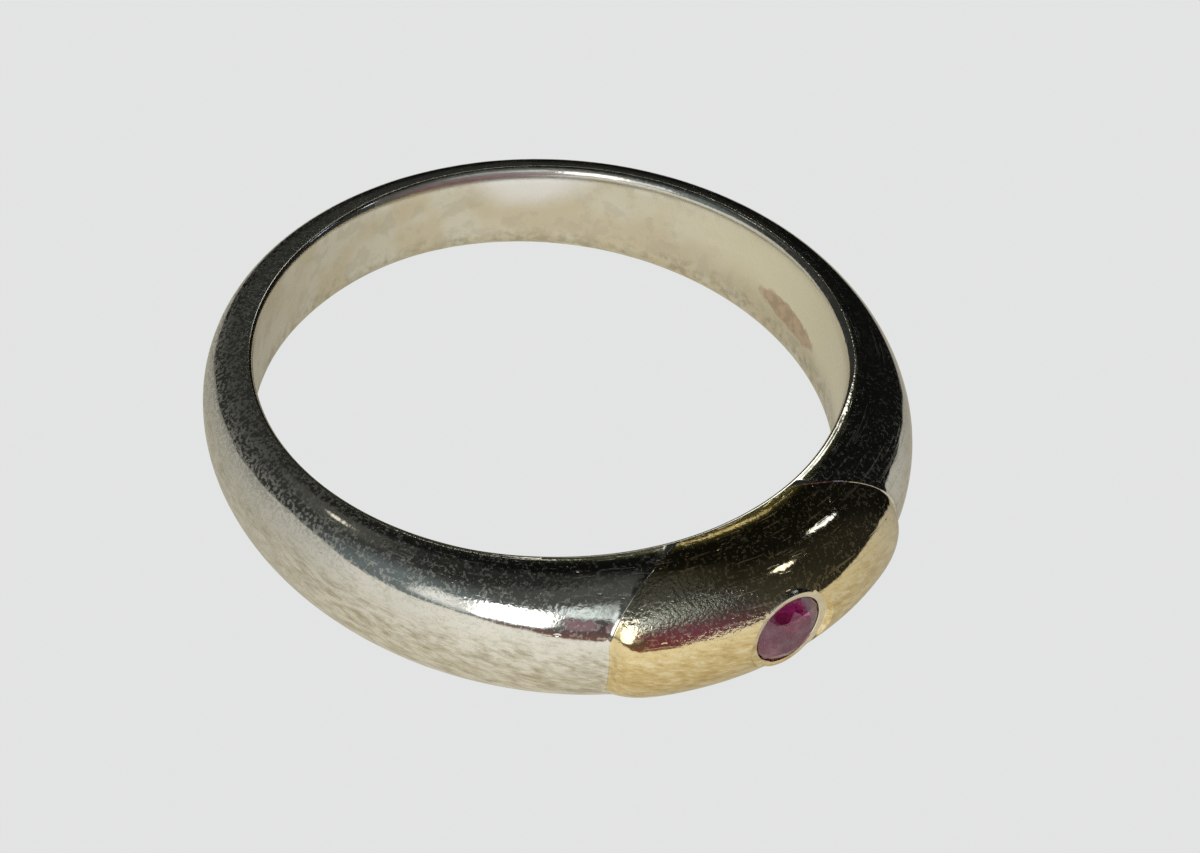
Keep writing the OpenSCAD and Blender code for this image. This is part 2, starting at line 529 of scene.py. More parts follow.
def bake(piece: bpy.types.Object) -> None:
    """Turns a piece and its modifiers into a plain mesh with its one material.

    Args:
        piece: the piece.
    """
    bpy.context.view_layer.update()
    seen = piece.evaluated_get(bpy.context.evaluated_depsgraph_get())
    mesh = bpy.data.meshes.new_from_object(seen)
    piece.modifiers.clear()
    old = piece.data
    piece.data = mesh
    bpy.data.meshes.remove(old)
    mesh.name = piece.name
    finish = [material for material in mesh.materials if material][0]
    mesh.materials.clear()
    mesh.materials.append(finish)
    mesh.polygons.foreach_set("material_index", [0] * len(mesh.polygons))


def crease(piece: bpy.types.Object, angle: float) -> None:
    """Shades a piece smooth, apart from edges sharper than an angle in degrees."""
    piece.data.polygons.foreach_set("use_smooth", [True] * len(piece.data.polygons))
    piece.data.set_sharp_from_angle(angle=math.radians(angle))


@dataclass(frozen=True)
class Patch:
    """An oval place on the ring.

    Attributes:
        middle: its angle in degrees and height in millimetres.
        half: half its length in degrees and half its width in millimetres.
        ends: where it starts and stops fading, as shares of its size.
        slope: how far it rises in a degree.
    """

    middle: Pair
    half: Pair
    ends: Pair = (0.5, 1.2)
    slope: float = 0.0


class SurfaceTree(Tree):
    """A metal's material tree, with the surface's point in millimetres round the finger's axis.

    Attributes:
        point, x, y, z: the point, and its coordinates.
        r: its distance from the axis.
        angle: its angle from the middle of the cap, in degrees.
    """

    DENT_ALONG = 0.55
    DENT_ACROSS = 0.9
    DENT_REACH = (0.04, 0.16)
    DENT_ENDS = (0.3, 1.2)

    def __init__(self, nodes: bpy.types.NodeTree, place: RingPlace) -> None:
        """Finds the point.

        Args:
            nodes: the empty tree.
            place: where the ring stands.
        """
        super().__init__(nodes)
        self.point = self.flow("ShaderNodeMapping",
                               {0: self.flow("ShaderNodeTexCoord", output="Object"), 1: tuple(place.centre),
                                2: (-place.lean, 0.0, 0.0), 3: (MM, MM, MM)}, vector_type="TEXTURE")
        self.x, self.y, self.z = self.parts(self.point)
        self.r = (self.x * self.x + self.y * self.y).root()
        self.angle = self.x.arctan(-self.y) * TO_DEGREES

    def share(self, patch: Patch, ragged: Number = 0.0) -> Flow:
        """How far the point belongs to an oval place.

        Args:
            patch: the place.
            ragged: what is added to the distance from the middle, for an uneven edge.

        Returns:
            1 in the middle, and 0 outside.
        """
        along = self.angle - patch.middle[0]
        across = (self.z - patch.middle[1] - patch.slope * along) / patch.half[1]
        along = along / patch.half[0]
        return self.fade((across * across + along * along).root() + ragged, *patch.ends)

    def drawn(self, along: float, across: float, detail: float, skew: float) -> Flow:
        """Noise drawn out along the band.

        Args:
            along: cells in a millimetre along the band.
            across: cells in a millimetre across it.
            detail: layers of finer noise.
            skew: how far the strokes slope.

        Returns:
            The noise, round 0.5.
        """
        place = self.xyz(self.x * along, self.y * along, self.r * across)
        return self.noise(place, 1.0, detail, 0.55, (self.z + self.x * skew) * across)

    def dents(self, cells: float) -> Flow:
        """Small dents of many sizes, drawn out a little along the band.

        Args:
            cells: how many there are across a millimetre.

        Returns:
            1 in the middle of a dent, and 0 beside it.
        """
        place = self.xyz(self.x * self.DENT_ALONG, self.y * self.DENT_ALONG,
                         (self.z - self.r) * self.DENT_ACROSS)
        away, own = self.cells(place, cells)
        reach = self.DENT_REACH[0] + self.DENT_REACH[1] * own * own * own
        ragged = away + 0.10 * (self.noise(self.point, 14.0, 1.0) - 0.5)
        return self.fade(ragged / reach, *self.DENT_ENDS)


@dataclass(frozen=True)
class Look:
    """What varies over a metal: colour, roughness, share of soft reflection, and height in millimetres."""

    colour: Flow
    rough: Flow
    haze: Flow
    height: Flow


@dataclass(frozen=True)
class Metal:
    """A worn polished metal: its colours, and how strong each kind of mark is.

    Each kind of noise has its cells in a millimetre first. A name with ENDS holds where a mark or a
    place on the ring begins and ends, in degrees for the ones by angle.
    """

    name: str
    colour: Colour
    light: Colour
    dark: Colour
    gloss: float
    haze: float
    ripple: float
    grain: float
    scuff: float
    dent: float
    dent_cells: float

    GRAIN = (9.0, 2.0, 0.6)
    CLOUD = (2.0, 3.0, 0.6)
    RIPPLE = (3.6, 1.0, 0.5)
    COARSE = (1.9, 5.5, 3.0, 0.35)
    FINE = (3.4, 14.0, 2.0, 0.2)
    HAIR = (0.35, 15.0, 0.0, 0.1)
    HAIR_ENDS = (0.66, 0.73)
    LIGHT_ENDS = (0.51, 0.57)
    DARK_ENDS = (0.38, 0.50)
    SPECK_ENDS = (0.52, 0.61)
    SIDE_ENDS = (0.35, 1.0)
    FRONT_ENDS = (-60.0, -25.0)
    LEFT_ENDS = (-95.0, -60.0)
    BACK_MIDDLE = -60.0
    BACK_ENDS = (75.0, 120.0)
    ROUGH_LIMITS = (0.03, 0.8)
    SOFT_ROUGH = 0.55

    def make(self, place: RingPlace) -> bpy.types.Material:
        """Builds the material: a clear reflection, and a soft one where fine scratches scatter the light.

        Args:
            place: where the ring stands.

        Returns:
            The finished material.
        """
        made = bpy.data.materials.new(self.name)
        tree = SurfaceTree(emptied(made), place)
        grain, cloud, ripple = (tree.noise(tree.point, *kind)
                                for kind in (self.GRAIN, self.CLOUD, self.RIPPLE))
        worn = 1.0 - 0.85 * tree.smooth(tree.z, *self.SIDE_ENDS)
        scuff = tree.drawn(*self.COARSE) * 0.6 + tree.drawn(*self.FINE) * 0.4
        hair = tree.smooth(tree.drawn(*self.HAIR), *self.HAIR_ENDS)
        height = (self.ripple * ripple + self.grain * grain + self.scuff * scuff * worn
                  - 0.3 * self.scuff * hair - self.dent * tree.dents(self.dent_cells))
        colour = tree.tint(worn * 0.35, self.colour, self.dark)
        colour = tree.tint(tree.smooth(scuff, *self.LIGHT_ENDS) * worn, colour, self.light)
        colour = tree.tint(tree.fade(scuff, *self.DARK_ENDS) * (0.2 + 0.7 * worn), colour, self.dark)
        haze = self._hazed(tree, grain * 0.8 + cloud * 0.2) + 0.3 * hair
        look = self._aged(tree, Look(colour, self.gloss + 0.10 * cloud * worn, haze, height))
        bump = tree.flow("ShaderNodeBump", {"Strength": 1.0, "Distance": MM, "Height": look.height})
        clear, soft = (tree.node("ShaderNodeBsdfPrincipled", {"Base Color": look.colour, "Metallic": 1.0,
                                                              "Roughness": rough, "Normal": bump})
                       for rough in (look.rough.clamped(*self.ROUGH_LIMITS), self.SOFT_ROUGH))
        both = tree.node("ShaderNodeMixShader",
                         {0: look.haze.clamped(), 1: clear.outputs[0], 2: soft.outputs[0]})
        tree.node("ShaderNodeOutputMaterial", {0: both.outputs[0]})
        return made

    def _hazed(self, tree: SurfaceTree, grain: Flow) -> Flow:
        """Grey speckle, most at the ring's left and least at its back.

        Args:
            tree: the material's tree.
            grain: the noise that it follows.

        Returns:
            The share of soft reflection.
        """
        front = tree.smooth(tree.angle, *self.FRONT_ENDS)
        back = tree.smooth(abs(tree.angle - self.BACK_MIDDLE), *self.BACK_ENDS)
        left = tree.fade(tree.angle, *self.LEFT_ENDS)
        here = 0.70 + (0.55 * (1.0 - front) + 0.5 * left) * (1.0 - back) - 0.22 * back * front
        return 1.6 * self.haze * here * tree.smooth(grain + 0.06 * left, *self.SPECK_ENDS)

    def _aged(self, tree: SurfaceTree, look: Look) -> Look:
        """The surface with the metal's own stains and worn places; here none."""
        return look


class TarnishedSilver(Metal):
    """Silver that is greyer at its left, and that has yellowed inside the band, with one brown stain, a
    painted sheen inside at its right and a painted highlight inside at its back.
    """

    GREY = (0.66, 0.66, 0.60)
    YELLOWED = ((0.82, 0.79, 0.68), (0.76, 0.69, 0.53))
    CLOUDY = (0.62, 0.58, 0.47)
    # painted sheen: a pale yellow colour laid inside the band at its right
    BRIGHT = (1.0, 0.96, 0.76)
    BLOTCH = (0.40, 0.38, 0.28)
    # painted highlight: white laid inside the band near its top edge at the back
    CLEAN = (1.0, 1.0, 1.0)
    STAIN = ((0.66, 0.50, 0.36), (0.50, 0.37, 0.25))
    # The first two places hold the painted sheen and the painted highlight inside the band.
    BRIGHT_PLACE = Patch((68.0, 0.75), (52.0, 1.65))
    CLEAN_PLACE = Patch((147.0, 1.5), (12.0, 1.3), (0.5, 1.3))
    STAIN_PLACE = Patch((84.5, -0.38), (10.0, 0.46), (0.80, 1.08), 0.008)
    BESIDE_CAP = Patch((-46.0, 1.85), (24.0, 0.5), (0.5, 1.3))
    GREY_MIDDLE = -122.0
    GREY_ENDS = (25.0, 60.0)
    RIGHT_ENDS = (20.0, 50.0)
    FAR_ENDS = (105.0, 145.0)
    LOW_ENDS = (-0.5, -1.3)
    WALL_ENDS = (8.76, 8.88)
    BACK_EDGE_ENDS = (8.90, 9.0)
    EDGE_ENDS = (8.92, 9.0)
    CREST_ENDS = (9.06, 9.16)

    def _aged(self, tree: SurfaceTree, look: Look) -> Look:
        """The silver with its grey left, its yellowed inside with a painted sheen and a painted highlight,
        and its worn edges.

        Args:
            tree: the material's tree.
            look: the clean surface.

        Returns:
            The aged surface.
        """
        inside = tree.fade(tree.r, *self.WALL_ENDS)
        left = tree.fade(abs(tree.angle - self.GREY_MIDDLE), *self.GREY_ENDS)
        right = tree.smooth(tree.angle, *self.RIGHT_ENDS)
        back = tree.smooth(abs(tree.angle), *self.FAR_ENDS) * tree.fade(tree.r, *self.BACK_EDGE_ENDS)
        crest = tree.fade(tree.r, *self.CREST_ENDS) * right
        calm = tree.fade(tree.r, *self.EDGE_ENDS) * (1.0 - right)
        marked = 1.0 - 0.8 * calm
        cloud = tree.noise(tree.point, 1.9, 3.0, 0.55)
        pits = tree.noise(tree.point, 8.0, 1.0, 0.5)
        pitted = 0.006 * tree.share(self.BESIDE_CAP) * pits + 0.004 * crest * pits
        outside = tree.tint(left * 0.4, look.colour, self.GREY)
        return Look(tree.tint(inside, outside, self._yellowed_with_painted_light(tree, cloud)),
                    tree.blend(inside, look.rough, 0.20 + 0.14 * cloud),
                    tree.blend(back, look.haze, 0.6) * (1.0 - inside) * marked,
                    (look.height + pitted) * (1.0 - 0.9 * inside) * marked)

    def _yellowed_with_painted_light(self, tree: SurfaceTree, cloud: Flow) -> Flow:
        """The colour inside the band, with dark blotches low down, the brown stain, a painted yellowish sheen
        at the right and a painted white highlight at the back.

        Args:
            tree: the material's tree.
            cloud: the noise that clouds it.

        Returns:
            The colour.
        """
        wide = tree.noise(tree.point, 0.6, 3.0, 0.5)
        fleck = tree.noise(tree.point, 3.4, 3.0, 0.6)
        low = tree.smooth(tree.z + 1.2 * (cloud - 0.5), *self.LOW_ENDS)
        warm = tree.tint(tree.smooth(wide, 0.38, 0.62), *self.YELLOWED)
        warm = tree.tint(tree.smooth(cloud, 0.50, 0.62) * 0.4, warm, self.CLOUDY)
        # a painted yellowish sheen inside the band at its right
        warm = tree.tint(tree.share(self.BRIGHT_PLACE) * 0.9, warm, self.BRIGHT)
        warm = tree.tint(tree.smooth(fleck, 0.40, 0.66) * low * 0.6, warm, self.BLOTCH)
        # a painted white highlight inside the band, near its top edge at the back
        warm = tree.tint(tree.share(self.CLEAN_PLACE), warm, self.CLEAN)
        stain = tree.tint(tree.smooth(fleck, 0.40, 0.60), *self.STAIN)
        stained = tree.share(self.STAIN_PLACE, 0.9 * (fleck - 0.5))
        return tree.tint(stained * 0.85, warm, stain)


class WornGold(Metal):
    """Gold with a pale land round the stone, a pale pitted place beside it and a paler right end."""

    LAND = (0.96, 0.90, 0.76)
    PITTED = (0.86, 0.86, 0.78)
    PALE = (0.92, 0.87, 0.74)
    PALE_ENDS = (8.0, 30.0)
    LAND_ENDS = (1.34, 1.40)
    LAND_LEVEL = 10.9
    LAND_SIDE_ENDS = (-1.3, -0.3)
    LAND_ROUGH = 0.22
    PITTED_PLACE = Patch((-16.0, 1.55), (15.0, 0.62), slope=-0.02)

    def _aged(self, tree: SurfaceTree, look: Look) -> Look:
        """The gold with the pale land round the stone and the pitted place.

        Args:
            tree: the material's tree.
            look: the clean surface.

        Returns:
            The aged surface.
        """
        off = (tree.x * tree.x + tree.z * tree.z).root()
        upper_right = tree.smooth(tree.x + tree.z, *self.LAND_SIDE_ENDS)
        land = tree.fade(off, *self.LAND_ENDS) * (tree.r > self.LAND_LEVEL) * upper_right
        pitted = tree.share(self.PITTED_PLACE)
        colour = tree.tint(pitted * 0.6, look.colour, self.PITTED)
        colour = tree.tint(tree.smooth(tree.angle, *self.PALE_ENDS) * 0.5, colour, self.PALE)
        return Look(tree.tint(land * 0.7, colour, self.LAND),
                    tree.blend(land, look.rough, self.LAND_ROUGH), look.haze,
                    look.height + 0.021 * pitted * tree.noise(tree.point, *self.GRAIN))


@dataclass(frozen=True)
class StoneFinish:
    """A clear red stone with polished facets and specks and a film of dust, with a painted deeper red
    reflection near its top and a painted grey-lilac reflection on its right.

    Attributes:
        middle, half: the height of the stone's middle and half its width, in millimetres.
        deep_middle, deep_half: where the painted deeper red reflection is and half its size, as shares of
            half.
        clearness: the share of light that goes through.
    """

    colour: Colour = (0.66, 0.13, 0.34)
    # a painted deeper red reflection, as from one facet, near the stone's top
    deep: Colour = (0.42, 0.01, 0.16)
    # the colour of the dust, and of the painted grey-lilac reflection on the stone's right
    dust: Colour = (0.50, 0.44, 0.47)
    deep_middle: Pair = (-0.14, 0.72)
    deep_half: Pair = (0.46, 0.26)
    deep_ends: Pair = (0.6, 1.2)
    # where the painted grey-lilac reflection on the stone's right fades in
    right_ends: Pair = (0.50, 0.66)
    film_ends: Pair = (0.40, 0.75)
    speck_ends: Pair = (0.6, 1.3)
    speck_reach: Pair = (0.01, 0.12)
    speck_cells: float = 3.1
    polish: float = 0.04
    clearness: float = 0.75
    dullness: float = 0.6
    index: float = 1.76
    middle: float = 2.45
    half: float = 1.12

    def make(self) -> bpy.types.Material:
        """Builds the material.

        Returns:
            The finished material.
        """
        made = bpy.data.materials.new("red_stone")
        tree = Tree(emptied(made))
        place = tree.flow("ShaderNodeTexCoord", output="Object")
        point = tree.flow("ShaderNodeVectorMath", {0: place, "Scale": 1.0 / MM}, operation="SCALE")
        away, own = tree.cells(point, self.speck_cells)
        reach = self.speck_reach[0] + self.speck_reach[1] * own * own
        speck = tree.fade(away / reach, *self.speck_ends)
        film = tree.smooth(tree.noise(point, 2.4, 3.0, 0.6), *self.film_ends)
        x, _, z = tree.parts(point)
        across = x / self.half
        up = (z - self.middle) / self.half
        # the painted deeper red reflection near the stone's top
        deep = tree.fade(((across - self.deep_middle[0]) / self.deep_half[0]) ** 2.0
                         + ((up - self.deep_middle[1]) / self.deep_half[1]) ** 2.0, *self.deep_ends)
        # the painted grey-lilac reflection on the stone's right
        right = tree.smooth(across * 0.9 + up * 0.3, *self.right_ends)
        # real dust specks and film, with the painted reflection on the right, all kept out of the painted
        # deeper red
        dust_and_reflection_mask = (speck * 0.8 + film * 0.35 + right * 0.45) * (1.0 - deep)
        glass = tree.node("ShaderNodeBsdfPrincipled",
                          {"Base Color": tree.tint(deep, self.colour, self.deep), "Roughness": self.polish,
                           "IOR": self.index, "Transmission Weight": self.clearness})
        dust = tree.node("ShaderNodeBsdfPrincipled",
                         {"Base Color": (*self.dust, 1.0), "Roughness": self.dullness})
        both = tree.node("ShaderNodeMixShader", {0: dust_and_reflection_mask.clamped(), 1: glass.outputs[0], 2: dust.outputs[0]})
        tree.node("ShaderNodeOutputMaterial", {0: both.outputs[0]})
        return made


@dataclass
class SilverBand:
    """The silver band with the seat that the cap lies in, in millimetres and degrees.

    Attributes:
        crowding: how much closer the dome's rows stand away from its rim.
        edge_seat, edge_narrow, edge_wide: how far the bore's rounded edge reaches into the rim along
            the seat, at the left, and at the back and right.
        edge_drop: the edge's height, as a share of that reach.
        wide_at: the angle at which the edge is wide, with wide_ends as the cosines where it changes.
        lip: how far the silver is raised beside the cap, within lip_width of it and above lip_starts.
        wave: how uneven the outside is, with wave_cells in a millimetre.
    """

    sizes: RingSizes
    place: RingPlace
    finish: Metal
    cap_columns: int = 150
    back_columns: int = 420
    wall_steps: int = 8
    edge_steps: int = 14
    dome_steps: int = 34
    seat_steps: int = 10
    edge_seat: float = 0.10
    edge_narrow: float = 0.17
    edge_wide: float = 0.30
    edge_drop: float = 1.7
    wide_at: float = 112.0
    wide_ends: Pair = (0.05, 0.6)
    by_seat_ends: Pair = (-0.30, 0.0)
    crowding: float = 1.5
    lip: float = 0.03
    lip_width: float = 0.24
    lip_starts: Pair = (-2.0, -0.8)
    wave: float = 0.012
    wave_cells: float = 0.55
    wave_over: float = 0.6
    crease_angle: float = 32.0

    def build(self) -> bpy.types.Object:
        """Makes the band from a closed grid: columns round the ring, rows round its section.

        Returns:
            The band.
        """
        tree = ShapeTree("band_shape", self.sizes)
        size = tree.size
        half = self.wall_steps + self.edge_steps + 1 + self.dome_steps + self.seat_steps
        columns = self.cap_columns + self.back_columns + 1
        sheet, column, row = tree.grid(columns, 2 * half + 1)
        angle, in_cap = self._angle(tree, column, columns - 1)
        cos_a = angle.cos()
        sin_a = abs(angle.sin())
        reach = tree.reach(cos_a)
        step = half - abs(row - half)
        side = 1.0 - 2.0 * (row > half)
        wide = tree.smooth((angle - math.radians(self.wide_at)).cos(), *self.wide_ends)
        by_seat = tree.smooth(cos_a - size["seat_angle"].cos(), *self.by_seat_ends)
        narrow_in, wide_in, seat_in = (tree.named(name, getattr(self, name))
                                       for name in ("edge_narrow", "edge_wide", "edge_seat"))
        edge_in = tree.blend(by_seat, tree.blend(wide, narrow_in, wide_in), seat_in)
        r, z = self._section(tree, step, in_cap, cos_a, sin_a, reach, edge_in)
        mesh = tree.place(sheet, angle, r, z * side)
        point, _, _, _, r = tree.placed()
        outside = ((r - size["dome_r"]) / self.wave_over).clamped()
        wave = tree.wave(point, self.wave_cells, self.wave, outside)
        mesh = tree.pushed(mesh, wave + self._lip(tree))
        piece = tree.run("silver_band", mesh, self.place, self.finish.make(self.place))
        crease(piece, self.crease_angle)
        return piece

    def _angle(self, tree: ShapeTree, column: Flow, last: int) -> tuple[Flow, Flow]:
        """The angle of each column, with the columns closer together at the seat's ends.

        Args:
            tree: the shape's tree.
            column: the column's number.
            last: the number of the last column, which closes the ring on the first.

        Returns:
            The angle, and 1 where the section has the seat cut into it.
        """
        end = tree.size["seat_angle"]
        quarter = math.pi / 2
        front = column / (self.cap_columns - 1.0)
        front_angle = end * ((front * 2.0 - 1.0) * quarter).sin()
        back = (column - self.cap_columns) / (self.back_columns - 1.0)
        back_angle = math.pi + (math.pi - end) * ((back * 2.0 - 1.0) * quarter).sin()
        closing = column > last - 0.5
        in_cap = (column < self.cap_columns - 0.5) + closing
        angle = tree.blend(in_cap, back_angle, tree.blend(closing, front_angle, -end))
        return angle, in_cap

    def _section(self, tree: ShapeTree, step: Flow, in_cap: Flow, cos_a: Flow, sin_a: Flow,
                 reach: Flow, edge_in: Flow) -> tuple[Flow, Flow]:
        """The upper half of the section, from the middle of the bore to the middle outside.

        Args:
            tree: the shape's tree.
            step: the point's number along the half section.
            in_cap: 1 where the seat is cut.
            cos_a: cosine of the angle round the ring.
            sin_a: its sine, without sign.
            reach: how far the dome stands out there.
            edge_in: how far the rounding of the bore's edge reaches into the rim.

        Returns:
            The radius and the height.
        """
        size = tree.size
        edge_at = float(self.wall_steps)
        dome_at = edge_at + self.edge_steps + 1.0
        seat_at = dome_at + self.dome_steps
        wall = (step / edge_at).clamped()
        start = tree.dome_angle(size["bore_r"] + edge_in, reach)
        crest = tree.rim_z(cos_a, size["dome_r"]) * tree.swell(start.sin())
        bend = ((step - edge_at) / self.edge_steps).clamped() * (math.pi / 2)
        edge_r = size["bore_r"] + edge_in * (1.0 - bend.cos())
        edge_z = (crest - edge_in * tree.named("edge_drop", self.edge_drop) * (1.0 - bend.sin())) * wall
        seat = tree.seat_r(cos_a, sin_a, 0.0)
        end = size["seat_angle"]
        end_reach = tree.reach(end.cos())
        corner = tree.blend(in_cap, tree.dome_angle(size["seat_end_r"], end_reach),
                            tree.dome_angle(seat, reach))
        down = 1.0 - (1.0 - ((step - dome_at) / self.dome_steps).clamped()) ** self.crowding
        inner = ((step - seat_at) / self.seat_steps).clamped()
        swing = start + (corner - start) * down
        swing = swing * (1.0 - inner * (1.0 - in_cap))
        dome_r = size["dome_r"] + reach * tree.swell(swing.cos())
        dome_z = tree.rim_z(cos_a, size["dome_r"]) * tree.swell(swing.sin()) * (1.0 - inner * in_cap)
        on_dome = step > dome_at - 0.5
        return tree.blend(on_dome, edge_r, dome_r), tree.blend(on_dome, edge_z, dome_z)

    def _lip(self, tree: ShapeTree) -> Flow:
        """How far the silver is burnished up against the cap beside the seat.

        Args:
            tree: the shape's tree.

        Returns:
            The rise at each point.
        """
        _, x, y, z, r = tree.placed()
        cos_a = -y / r
        sin_a = abs(x / r)
        past_end = (sin_a.arctan(cos_a) - tree.size["seat_angle"]) * r
        ramp, end = (past.clamped(0.0, 9.0) for past in (-tree.past_ramp(cos_a, sin_a, r), past_end))
        away = (ramp * ramp + end * end).root() / tree.named("lip_width", self.lip_width)
        off_floor = tree.smooth(z, *self.lip_starts)
        near = (1.0 - away).clamped() ** 2.0
        return tree.named("lip", self.lip) * off_floor * near * (r > tree.size["dome_r"] + 0.02)

    def dress(self, piece: bpy.types.Object) -> None:
        """Hangs the band on the root, and hides the CAD band in its place.

        Args:
            piece: the band.
        """
        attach(piece, ROOT)
        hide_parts("band")


@dataclass(frozen=True)
class StoneSeat:
    """The round seat of the stone, in millimetres from the stone's axis and its girdle's middle."""

    stone_r: float = 1.12
    sink: float = 0.04
    crown_h: float = 0.30
    girdle_half: float = 0.025
    pavilion: float = 0.86
    gap: float = 0.02
    land_w: float = 0.2
    land_rise: float = 0.04
    land_round: float = 0.05
    land_root: float = 0.5
    land_side: float = 15.0
    cut_angle: float = 42.0
    cut_over: float = 1.2
    well_r: float = 0.3
    well_depth: float = 0.2
    skim: float = 0.004
    bevel: float = 0.02
    round_steps: int = 6
    segments: int = 96

    @property
    def land_z(self) -> float:
        """Height of the land."""
        return self.girdle_half + self.land_rise

    @property
    def land_r(self) -> float:
        """Outer radius of the land."""
        return self.stone_r + self.gap + self.land_w

    def land(self) -> list[Pair]:
        """The metal that carries the land, with a rounded outer edge.

        Returns:
            Radius and height of each point of its section.
        """
        side = math.radians(self.land_side)
        turn = (math.pi / 2 - side) / self.round_steps
        middle_r, middle_z = self.land_r - self.land_round, self.land_z - self.land_round
        edge = [(middle_r + self.land_round * math.cos(side + turn * step),
                 middle_z + self.land_round * math.sin(side + turn * step))
                for step in range(self.round_steps + 1)]
        root_r, root_z = edge[0][0] + self.land_root * math.tan(side), edge[0][1] - self.land_root
        return [(0.0, root_z), (root_r, root_z), *edge, (0.0, self.land_z)]

    def cut(self) -> list[Pair]:
        """What is cut away: well, cone, wall, land and bright cut.

        Returns:
            Radius and height of each point of its section.
        """
        wall_r = self.stone_r + self.gap
        ledge = -self.girdle_half - self.gap / math.cos(math.atan(self.pavilion))
        floor = -self.girdle_half - self.stone_r * self.pavilion - self.well_depth
        well_top = ledge - (wall_r - self.well_r) * self.pavilion
        top = self.land_z + self.cut_over
        skim = self.land_z - self.skim
        outer_r = self.land_r + self.bevel
        top_r = outer_r + self.cut_over * math.tan(math.radians(self.cut_angle))
        return [(0.0, floor), (self.well_r, floor), (self.well_r, well_top), (wall_r, ledge),
                (wall_r, skim - self.bevel), (wall_r + self.bevel, skim), (outer_r, skim + self.bevel / 2),
                (top_r, top), (0.0, top)]

    def matrix(self, place: RingPlace, sizes: RingSizes) -> Matrix:
        """Stands a section's axis outwards through the stone, in metres.

        Args:
            place: where the ring stands.
            sizes: the ring's sizes.

        Returns:
            The matrix for points in millimetres.
        """
        top = sizes.bore_r + sizes.front_t + sizes.cap_proud
        girdle = top - self.sink - self.crown_h - self.girdle_half
        outwards = Matrix.Rotation(math.radians(90), 4, "X") @ Matrix.Translation((0, 0, girdle))
        return place.matrix @ Matrix.Scale(MM, 4) @ outwards


def lathe(name: str, profile: list[Pair], where: Matrix, segments: int,
          closed: bool = True) -> bpy.types.Object:
    """Turns a section that starts on the axis into a solid, or into a bowl.

    Args:
        name: the object's name.
        profile: radius and height of each point, upwards.
        where: where the object stands.
        segments: sides round the axis.
        closed: whether the section also ends on the axis, for a solid.

    Returns:
        The object.
    """
    made = bmesh.new()
    off_axis = profile[1:-1] if closed else profile[1:]
    turns = [math.tau * side / segments for side in range(segments)]
    columns = [[made.verts.new((r * math.cos(turn), r * math.sin(turn), height)) for r, height in off_axis]
               for turn in turns]
    for here, ahead in zip(columns, columns[1:] + columns[:1]):
        for row in range(len(here) - 1):
            made.faces.new((here[row], ahead[row], ahead[row + 1], here[row + 1]))
    made.faces.new([column[0] for column in reversed(columns)])
    if closed:
        made.faces.new([column[-1] for column in columns])
        bmesh.ops.recalc_face_normals(made, faces=made.faces)
    made.transform(where)
    mesh = bpy.data.meshes.new(name)
    made.to_mesh(mesh)
    made.free()
    turned = bpy.data.objects.new(name, mesh)
    bpy.context.scene.collection.objects.link(turned)
    return turned


